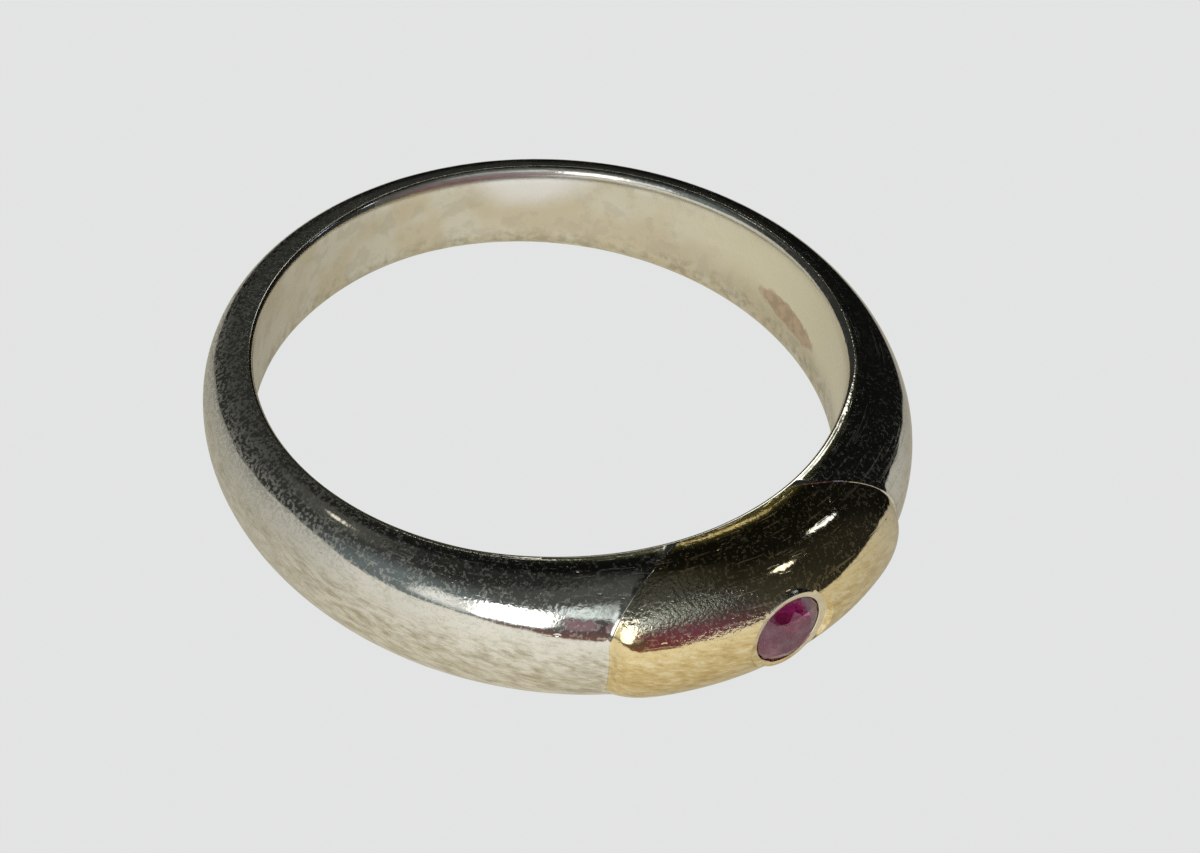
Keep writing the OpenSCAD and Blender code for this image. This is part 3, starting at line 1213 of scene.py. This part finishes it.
@dataclass
class GoldCap:
    """The gold cap that lies in the seat, with the cut that the stone is set in.

    Attributes:
        even_columns, even_rows: how evenly the mesh is spaced, as against closer at the edges.
        wave: how uneven the outside is, in millimetres, with wave_cells in a millimetre.
    """

    sizes: RingSizes
    place: RingPlace
    finish: Metal
    columns: int = 170
    rows: int = 64
    even_columns: float = 0.7
    even_rows: float = 0.6
    wave: float = 0.014
    wave_cells: float = 0.6
    wave_start: float = 0.4
    wave_over: float = 0.8
    crease_angle: float = 35.0
    seat: StoneSeat = StoneSeat()

    def build(self) -> bpy.types.Object:
        """Makes the cap from a closed grid, and cuts the stone's seat into it.

        Returns:
            The cap.
        """
        tree = ShapeTree("cap_shape", self.sizes)
        size = tree.size
        sheet, column, row = tree.grid(self.columns + 2, 2 * self.rows + 1)
        inner = (column - 1.0).clamped(0.0, self.columns - 1.0)
        at_end = abs(column - inner - 1.0)
        end = size["seat_angle"] - size["fit_gap"] / size["seat_end_r"]
        share = inner / (self.columns - 1.0) * 2.0 - 1.0
        angle = end * (self.even_columns * share
                       + (1.0 - self.even_columns) * (share * (math.pi / 2)).sin())
        cos_a = angle.cos()
        sin_a = abs(angle.sin())
        reach = tree.reach(cos_a)
        floor = tree.seat_r(cos_a, sin_a, size["fit_gap"])
        corner = tree.dome_angle(floor, reach + self._lift(tree, angle, cos_a, sin_a, floor))
        under = row > self.rows + 0.5
        down = (self.rows - abs(row - self.rows)) / float(self.rows)
        swing = corner * (self.even_rows * (1.0 - 2.0 * down)
                          + (1.0 - self.even_rows) * (down * math.pi).cos())
        plain_r = size["dome_r"] + reach * tree.swell(swing.cos())
        lifted = reach + self._lift(tree, angle, cos_a, sin_a, plain_r)
        top = (size["dome_r"] + lifted * tree.swell(swing.cos())).at_least(floor)
        rim = tree.rim_z(cos_a, size["dome_r"])
        z = rim * tree.swell(abs(swing.sin())) * (1.0 - 2.0 * (down > 0.5))
        flat = (under + at_end).clamped()
        level = rim * tree.swell(corner.sin()) * (1.0 - 2.0 * down)
        edge = (abs(down - 0.5) > 0.4999) + flat
        r = tree.blend(edge.clamped(), top, floor)
        mesh = tree.place(sheet, angle, r, tree.blend(flat, z, level))
        point, _, _, _, r = tree.placed()
        outside = ((r - size["seat_end_r"] + self.wave_start) / self.wave_over).clamped()
        mesh = tree.pushed(mesh, tree.wave(point, self.wave_cells, self.wave, outside))
        piece = tree.run("gold_cap", mesh, self.place, self.finish.make(self.place))
        self._set_stone(piece)
        crease(piece, self.crease_angle)
        return piece

    def _lift(self, tree: ShapeTree, angle: Flow, cos_a: Flow, sin_a: Flow, r: Flow) -> Flow:
        """How far the cap stands proud of the silver's form at a point.

        Args:
            tree: the shape's tree.
            angle: the angle round the ring.
            cos_a: its cosine.
            sin_a: its sine, without sign.
            r: the radius of the silver's form there.

        Returns:
            The height over that form.
        """
        size = tree.size
        to_end = r * (size["seat_angle"] - abs(angle)).sin()
        rolled = [1.0 - (1.0 - (inwards / size[over]).clamped()) ** 3.0
                  for inwards, over in ((tree.past_ramp(cos_a, sin_a, r), "cap_roll"), (to_end, "end_roll"))]
        return size["cap_proud"] * rolled[0] * rolled[1]

    def _set_stone(self, piece: bpy.types.Object) -> None:
        """Adds the land round the stone, and cuts the stone's seat.

        Args:
            piece: the cap.
        """
        where = self.seat.matrix(self.place, self.sizes)
        for name, profile, operation in (("land", self.seat.land(), "UNION"),
                                         ("seat", self.seat.cut(), "DIFFERENCE")):
            tool = lathe(name, profile, where, self.seat.segments)
            tool.data.materials.append(piece.data.materials[0])
            step = piece.modifiers.new(name, "BOOLEAN")
            step.operation = operation
            step.solver = "EXACT"
            step.object = tool
            bake(piece)
            bpy.data.objects.remove(tool)

    def dress(self, piece: bpy.types.Object) -> None:
        """Hangs the cap on the root, and hides the CAD inlay in its place.

        Args:
            piece: the cap.
        """
        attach(piece, ROOT)
        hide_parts("inlay")


@dataclass
class RedStone:
    """The round stone, whose facets are the CAD's own."""

    finish: StoneFinish

    def dress(self, node: bpy.types.Object) -> None:
        """Gives the CAD stone its finish.

        Args:
            node: the stone.
        """
        material = self.finish.make()
        for holder in node.material_slots:
            holder.material = material


class RoomTree(Tree):
    """The room's tree, with each direction's azimuth and elevation in degrees."""

    def __init__(self, nodes: bpy.types.NodeTree) -> None:
        """Finds the direction.

        Args:
            nodes: the empty tree.
        """
        super().__init__(nodes)
        x, y, z = self.parts(self.flow("ShaderNodeTexCoord", output="Generated"))
        self.elevation = z.arcsin() * TO_DEGREES
        self.azimuth = x.arctan(-y) * TO_DEGREES

    def by_azimuth(self, values: Sequence[Pair], scale: float = 1.0, offset: float = 0.0) -> Flow:
        """A number that changes with the azimuth, by a colour ramp.

        Args:
            values: azimuth and number of each stop, in order.
            scale: what brings the numbers into the ramp's range from 0 to 1.
            offset: what is added to them there.

        Returns:
            The number.
        """
        stops = [((azimuth + 180) / 360, value * scale + offset) for azimuth, value in values]
        read = self.flow("ShaderNodeValToRGB", {0: self.azimuth / 360.0 + 0.5}, stops=stops)
        return (read - offset) / scale


@dataclass(frozen=True)
class SoftBox:
    """A patch of light or colour in the studio, by its direction from the ring, in degrees."""

    azimuth: float
    elevation: float
    half_width: float
    half_height: float
    soft: float
    colour: Colour
    share: float = 1.0

    def lit(self, tree: RoomTree, colour: Flow) -> Flow:
        """Adds the patch to the room.

        Args:
            tree: the room's tree.
            colour: the room's colour so far.

        Returns:
            The room's colour with the patch.
        """
        across = abs(tree.azimuth - self.azimuth) / self.half_width
        up = abs(tree.elevation - self.elevation) / self.half_height
        away = (across ** 4.0 + up ** 4.0) ** 0.25
        mask = tree.fade(away, 1.0 - self.soft / 2, 1.0 + self.soft / 2) * self.share
        return tree.tint(mask, colour, self.colour)


@dataclass(frozen=True)
class Studio:
    """A pale floor, and a dark room with a few soft lights that the metal reflects.

    Attributes:
        horizon: the pale surroundings' edge, as azimuth and elevation in degrees.
        low_share, high_share: how bright they are below and near that edge, by azimuth.
        room: how bright the dark room is, by azimuth.
    """

    floor_colour: Colour = (0.765, 0.775, 0.770)
    floor_r: float = 0.6
    floor_sides: int = 48
    bend_r: float = 2.4
    bend_step: float = 6.0
    bend_steps: int = 26
    deep: Colour = (0.58, 0.54, 0.44)
    far: Colour = (0.80, 0.785, 0.735)
    room_scale: float = 8.0
    horizon_span: float = 60.0
    horizon_soft: float = 1.2
    horizon: tuple[Pair, ...] = (
        (-180, -20), (-168, -10), (-150, 0), (-138, 9), (-126, 18), (-115, 19), (-100, 15), (-88, 15),
        (-68, 18), (-50, 15), (-37, 9), (-28, 6), (-5, 4), (9, 4.5), (18, 6), (45, -1), (57, 1), (70, 4),
        (80, -1), (89, -8), (99, -17), (107, -24), (150, -28), (180, -20))
    low_share: tuple[Pair, ...] = (
        (-180, 0.93), (-120, 1.0), (-60, 1.02), (10, 0.96), (45, 0.84), (80, 0.84), (110, 0.80), (140, 1.0),
        (180, 0.93))
    high_share: tuple[Pair, ...] = (
        (-180, 0.36), (-150, 0.50), (-120, 0.62), (-90, 0.84), (-60, 1.0), (-20, 1.0), (10, 0.92), (45, 0.72),
        (80, 0.52), (110, 0.30), (140, 0.30), (180, 0.36))
    room: tuple[Pair, ...] = (
        (-180, 0.026), (-140, 0.034), (-110, 0.034), (-75, 0.062), (-40, 0.072), (-10, 0.070), (20, 0.046),
        (55, 0.018), (85, 0.005), (145, 0.004), (165, 0.008), (180, 0.026))
    boxes: tuple[SoftBox, ...] = (
        SoftBox(30, 86, 110, 15, 1.0, (0.070, 0.074, 0.070), 0.8),
        SoftBox(-150, 78, 60, 14, 1.0, (0.014, 0.015, 0.014), 0.7),
        SoftBox(-160, 53, 26, 9, 1.0, (0.075, 0.077, 0.070), 0.8),
        SoftBox(-157, 54, 5, 1.4, 0.6, (1.0, 0.97, 0.85)),
        SoftBox(160, 24, 24, 22, 1.0, (0.030, 0.031, 0.028), 0.8),
        SoftBox(-82, 28, 34, 26, 1.0, (0.15, 0.185, 0.20), 0.8),
        SoftBox(-5, 19, 21, 15, 0.4, (0.15, 0.045, 0.075)),
        SoftBox(-46, 5, 24, 14, 0.3, (0.15, 0.075, 0.07)),
        SoftBox(-34, 30, 5, 8, 0.5, (0.25, 0.16, 0.185)),
        SoftBox(-56, 35, 14, 13.5, 0.25, (2.2, 2.25, 2.3)),
        SoftBox(-77, 31, 9, 9, 0.9, (0.80, 0.82, 0.83)),
        SoftBox(-30, 50, 12, 9, 0.8, (0.80, 0.89, 0.93)),
        SoftBox(-8, 54, 18, 10, 0.8, (0.34, 0.38, 0.39)),
        SoftBox(52, 49.5, 3, 2.5, 0.4, (1.9, 2.0, 2.4)),
        SoftBox(82, 48, 2.3, 3.3, 0.3, (1.7, 2.0, 2.9)),
        SoftBox(138, 42, 7, 7, 1.0, (0.050, 0.052, 0.018), 0.8),
        SoftBox(138.3, 39.0, 2.8, 2.4, 0.6, (2.2, 2.2, 2.1)),
        SoftBox(144.5, 41.4, 3.5, 1.1, 0.6, (1.1, 1.1, 1.05)),
        SoftBox(136.5, 46, 3.5, 0.75, 0.6, (0.66, 0.61, 0.46)),
    )

    def build(self) -> None:
        """Makes the floor and the room."""
        self._floor()
        self._room()

    def _floor(self) -> None:
        """A pale floor that rises into a backdrop far behind, seen only by the camera."""
        bends = [math.radians(self.bend_step * step) for step in range(self.bend_steps)]
        profile = [(self.floor_r + self.bend_r * math.sin(bend), self.bend_r * (1 - math.cos(bend)))
                   for bend in bends]
        floor = lathe("floor", [(0.0, 0.0), *profile], Matrix.Identity(4), self.floor_sides, closed=False)
        for way in ("visible_glossy", "visible_transmission", "visible_diffuse", "visible_shadow"):
            setattr(floor, way, False)
        material = bpy.data.materials.new("pale_floor")
        tree = Tree(emptied(material))
        glow = tree.node("ShaderNodeEmission", {"Color": (*self.floor_colour, 1.0), "Strength": 1.0})
        tree.node("ShaderNodeOutputMaterial", {0: glow.outputs[0]})
        floor.data.materials.append(material)

    def _room(self) -> None:
        """The room all round: bright below the edge of the pale surface, dark above it, with lights."""
        world = bpy.data.worlds.new("studio")
        bpy.context.scene.world = world
        tree = RoomTree(emptied(world))
        edge = tree.by_azimuth(self.horizon, 1.0 / self.horizon_span, 0.5)
        above = tree.smooth(tree.elevation - edge, -self.horizon_soft, self.horizon_soft)
        deep, far = (tree.tint(1.0, colour, tree.xyz(share, share, share), "MULTIPLY")
                     for colour, share in ((self.deep, tree.by_azimuth(self.low_share)),
                                           (self.far, tree.by_azimuth(self.high_share))))
        low = tree.tint(tree.smooth(tree.elevation, -75.0, 8.0), deep, far)
        dim = tree.by_azimuth(self.room, self.room_scale)
        dark = tree.xyz(dim * 0.96, dim, dim * 0.98)
        for box in self.boxes:
            dark = box.lit(tree, dark)
        glow = tree.node("ShaderNodeBackground", {"Color": tree.tint(above, low, dark), "Strength": 1.0})
        tree.node("ShaderNodeOutputWorld", {0: glow.outputs[0]})


@dataclass(frozen=True)
class PhotoCamera:
    """The photograph's camera: where it stands, how it is turned and how long its lens is."""

    distance: float = 0.1575
    azimuth: float = -40.0
    elevation: float = 42.92665
    roll: float = 4.21939
    pan: float = -0.576120
    tilt: float = 0.266870
    focal_px: float = 5277.468
    picture_w: float = 1200.0
    sensor: float = 36.0
    clip: Pair = (0.01, 20.0)

    def build(self, place: RingPlace) -> None:
        """Makes the camera and gives it to the scene.

        Args:
            place: where the ring stands.
        """
        up_angle = math.radians(self.elevation)
        spot = Vector((0, -math.cos(up_angle), math.sin(up_angle))) * self.distance
        ahead = -spot.normalized()
        right = Vector((1, 0, 0))
        look = Matrix((right, right.cross(ahead), ahead))
        turns = [Matrix.Rotation(math.radians(angle), 3, axis)
                 for angle, axis in ((-self.tilt, "X"), (self.pan, "Y"), (-self.roll, "Z"))]
        rows = turns[0] @ turns[1] @ turns[2] @ look
        pose = Matrix((rows[0], rows[1], -rows[2])).transposed().to_4x4()
        pose.translation = spot
        round_ring = Matrix.Rotation(math.radians(self.azimuth), 4, "Z")
        data = bpy.data.cameras.new("photo_camera")
        data.lens = self.focal_px * self.sensor / self.picture_w
        data.sensor_width = self.sensor
        data.sensor_fit = "HORIZONTAL"
        data.clip_start, data.clip_end = self.clip
        camera = bpy.data.objects.new("photo_camera", data)
        camera.matrix_world = place.matrix @ round_ring @ pose
        bpy.context.scene.collection.objects.link(camera)
        bpy.context.scene.camera = camera


def main() -> None:
    """Builds the camera, the studio and the pieces in order, and reports each piece."""
    logging.basicConfig(level=logging.INFO, format="%(name)s: %(message)s")
    place = RingPlace(frame["record"])
    sizes = RingSizes(bore_r=place.bore_r)
    PhotoCamera().build(place)
    Studio().build()
    bpy.context.scene.view_settings.view_transform = "Standard"
    silver = TarnishedSilver("worn_silver", (0.92, 0.90, 0.82), (0.95, 0.93, 0.85), (0.58, 0.53, 0.40),
                             gloss=0.07, haze=0.30, ripple=0.0015, grain=0.0010, scuff=0.0016, dent=0.006,
                             dent_cells=2.6)
    gold = WornGold("worn_gold", (0.95, 0.78, 0.43), (0.99, 0.86, 0.56), (0.70, 0.53, 0.25),
                    gloss=0.05, haze=0.24, ripple=0.0015, grain=0.0011, scuff=0.0018, dent=0.009,
                    dent_cells=3.2)
    for part in (SilverBand(sizes, place, silver), GoldCap(sizes, place, gold)):
        piece = part.build()
        part.dress(piece)
        LOG.info("%s: %d faces", piece.name, len(piece.data.polygons))
    RedStone(StoneFinish()).dress(frame["nodes"]["stone"])
    LOG.info("stone: the CAD's facets, dressed")


if __name__ == "__main__":
    main()
